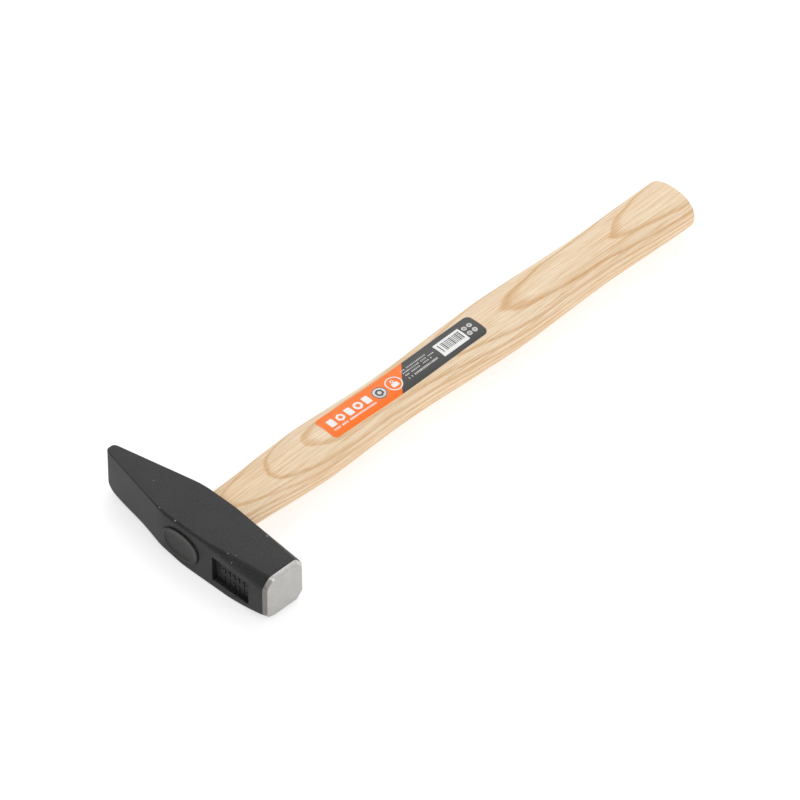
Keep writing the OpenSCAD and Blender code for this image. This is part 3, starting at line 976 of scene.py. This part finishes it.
def layRing(name, material, across, along, radius, line, sides=64, lift=None):
    return growFromTree(name, ringTree, Surface=handle, Material=material, Centre=onLabel(across, along),
        Radius=radius * mm, Line=line * mm, Sides=sides, Lift=(lift or labelSpec["inkLift"]) * mm,
        Thickness=labelSpec["inkThickness"] * mm)


def makeFilmFinish():
    material, tree, shader, point = newMaterial("labelFilm", IOR=1.5, Specular_IOR_Level=0.18)
    x, y = splitVector(point)[:2]
    across = minus(x, filmX / mm)
    along = minus(y, filmY / mm)
    field = timesPlus(across, labelSpec["slant"], along)
    grey = rangeNode(field, labelSpec["slantStart"] - 0.04, labelSpec["slantStart"] + 0.04)
    grain = placeGroup(tree, fineGrain, Vector=point, Size=0.3, Patch=16.0)
    # the orange is a little deeper on the side towards the striking face
    s, patches = labelSpec, grain["Patches"]
    orange = mixColor(rangeNode(across, -4.0, 5.0), s["orange"], s["orangeDeep"])
    orange = mixColor(rangeNode(patches, 0.3, 0.7, 0.0, 0.5), orange, s["orangePatch"])
    slate = mixColor(rangeNode(patches, 0.3, 0.7), s["slate"], s["slatePatch"])
    color = mixColor(grey, orange, slate)
    color = mixColor(rangeNode(grain["Speckle"], 0.5, 0.8, 0.0, 0.06), color, s["fleck"])
    plug(shader, Base_Color=color, Roughness=rangeNode(grain["Speckle"], 0.2, 0.8, 0.34, 0.46))
    bumpInto(shader, grain["Height"], 0.12, 0.00002)
    return material


def makeInk(name, light, dark, metallic=0.0):
    material, tree, shader, point = newMaterial(name, Metallic=metallic, Specular_IOR_Level=0.3)
    grain = placeGroup(tree, fineGrain, Vector=point, Size=0.25, Patch=3.0)
    speckle = grain["Speckle"]
    worn = plus(rangeNode(grain["Patches"], 0.35, 0.7, 0.0, 0.5), rangeNode(speckle, 0.5, 0.8, 0.0, 0.5))
    rough = rangeNode(speckle, 0.2, 0.8, 0.38, 0.52)
    plug(shader, Base_Color=mixColor(worn, light, dark), Roughness=rough)
    bumpInto(shader, grain["Height"], 0.1, 0.00001)
    return material


def at(spec):
    # a print's place, then its width and length or its radius and line
    sizes = ("width", "length") if "width" in spec else ("radius", "line")
    return [spec[key] for key in ("across", "along", *sizes)]


def makePrint():
    s = labelSpec
    white, thinWhite, silver, dark = (makeInk(name, *look) for name, look in s["inks"].items())
    second = s["inkLift"] + s["inkThickness"] + s["inkGap"]      # print on top of print
    b, c = s["blocks"], s["caption"]
    parts = []
    for k in range(b["count"]):
        along = b["along"] + b["step"] * k
        if k % 2 == 0:
            parts.append(layPatches("block", white, b["across"], along, b["width"], b["length"],
                corner=b["corner"], cuts=(8, 12)))
        else:
            parts.append(layRing("blockRing", white, b["across"], along, b["width"] / 2, b["line"],
                sides=6 if k == 1 else 40))
    parts.append(layPatches("caption", white, *at(c), step=c["step"], count=c["count"], corner=0.15,
        share=0.88, shortest=0.6, seed=7, cuts=(3, 5)))
    d, r = s["disc"], s["ring"]
    parts.append(layRing("disc", silver, d["across"], d["along"], d["radius"], d["radius"]))
    parts.append(layRing("discRim", dark, d["across"], d["along"], d["radius"] - 0.05, s["rimLine"],
        lift=second))
    parts.append(layRing("nut", dark, d["across"], d["along"], s["nut"]["radius"], s["nut"]["line"],
        sides=6, lift=second))
    parts.append(layRing("weightRing", white, *at(r)))
    # a plain balance weight inside the ring: a knob over a body
    knob, body = s["knob"], s["body"]
    parts.append(layRing("weightKnob", white, r["across"] + knob["across"], r["along"], knob["radius"],
        knob["line"], sides=32))
    parts.append(layPatches("weightBody", white, r["across"] + body["across"], r["along"], body["width"],
        body["length"], corner=body["corner"], cuts=(5, 10)))
    for k, (across, count, width) in enumerate(s["smallPrint"]):
        parts.append(layPatches("smallPrint", thinWhite, across, s["smallStart"], width, s["smallLength"],
            step=s["smallStep"], count=count, corner=0.12, share=0.87, shortest=0.6, seed=11 + k,
            cuts=(3, 5)))
    p, t, o = s["panel"], s["stripes"], s["dots"]
    parts.append(layPatches("panel", white, *at(p), corner=0.15, cuts=(12, 20)))
    parts.append(layPatches("stripes", dark, *at(t), lift=second, step=t["step"], count=t["count"],
        share=0.86, shortest=0.35, seed=5, cuts=(8, 4)))
    for across in o["across"]:
        for along in o["along"]:
            parts.append(layRing("dot", thinWhite, across, along, o["radius"], o["radius"], sides=40))
            parts.append(layRing("dotMark", dark, across, along, o["radius"] * 0.62, s["rimLine"], sides=3,
                lift=second))
    return joinPieces("labelPrint", parts)


film = layPatches("labelFilm", makeFilmFinish(), 0.0, filmLength / 2, filmWidth, filmLength,
    labelSpec["filmLift"], labelSpec["filmThickness"], corner=labelSpec["corner"], cuts=labelSpec["filmCuts"])
smoothShade(film.data, labelSpec["smoothAngle"])
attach(film, "root")
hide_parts("label_film")
labelPrint = makePrint()
smoothShade(labelPrint.data, labelSpec["smoothAngle"])
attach(labelPrint, "root")
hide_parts("label_print")
print("label made,", len(labelPrint.data.polygons), "faces of print")


# stage, light and camera

stageSpec = {
    "floorSize": 6.0, "floorDrop": 0.0002, "paper": (0.5, 0.5, 0.5), "glow": 0.63, "world": 0.75,
    # place, aim, size and power
    "keySoftbox": ((-0.9, 1.0, 1.3), (0, 0.05, 0), 1.5, 12),
    "fillSoftbox": ((1.5, 0.2, 0.7), (0, 0.1, 0), 1.0, 6.2),
}


def makeStage():
    size, z = stageSpec["floorSize"], -stageSpec["floorDrop"]
    mesh = bpy.data.meshes.new("floor")
    mesh.from_pydata([(-size, -size, z), (size, -size, z), (size, size, z), (-size, size, z)], [], [range(4)])
    paper = newMaterial("floorPaper", Base_Color=(*stageSpec["paper"], 1), Roughness=0.9,
        Specular_IOR_Level=0.1, Emission_Color=(1, 1, 1, 1), Emission_Strength=stageSpec["glow"])[0]
    mesh.materials.append(paper)
    makeObject("floor", mesh)


def addArea(name, place, aim, size, power):
    light = bpy.data.lights.new(name, "AREA")
    light.shape = "DISK"
    light.size = size
    light.energy = power
    lamp = makeObject(name, light)
    lamp.location = place
    lamp.rotation_mode = "QUATERNION"
    lamp.rotation_quaternion = (Vector(aim) - Vector(place)).to_track_quat("-Z", "Y")


def makeLights():
    world = bpy.data.worlds.new("studio")
    bpy.context.scene.world = world
    world.use_nodes = True
    background = next(n for n in world.node_tree.nodes if n.type == "BACKGROUND")
    background.inputs[0].default_value = (1, 1, 1, 1)
    background.inputs[1].default_value = stageSpec["world"]
    for name in ("keySoftbox", "fillSoftbox"):
        addArea(name, *stageSpec[name])


cameraSpec = {"azimuth": 44.78, "elevation": 43.72, "distance": 3.133, "lens": 337.5,
              "aim": (0.03225, 0.08522, 0.05099)}


def makeCamera():
    data = bpy.data.cameras.new("camera")
    data.sensor_width = 36
    data.lens = cameraSpec["lens"]
    data.clip_start, data.clip_end = 0.1, 20
    camera = makeObject("camera", data)
    a, e = math.radians(cameraSpec["azimuth"]), math.radians(cameraSpec["elevation"])
    back = Vector((math.sin(a) * math.cos(e), -math.cos(a) * math.cos(e), math.sin(e)))
    camera.location = Vector(cameraSpec["aim"]) + back * cameraSpec["distance"]
    camera.rotation_euler = (math.pi / 2 - e, 0, a)
    bpy.context.scene.camera = camera


makeStage()
makeLights()
makeCamera()
bpy.context.scene.view_settings.view_transform = "Standard"
print("stage ready")
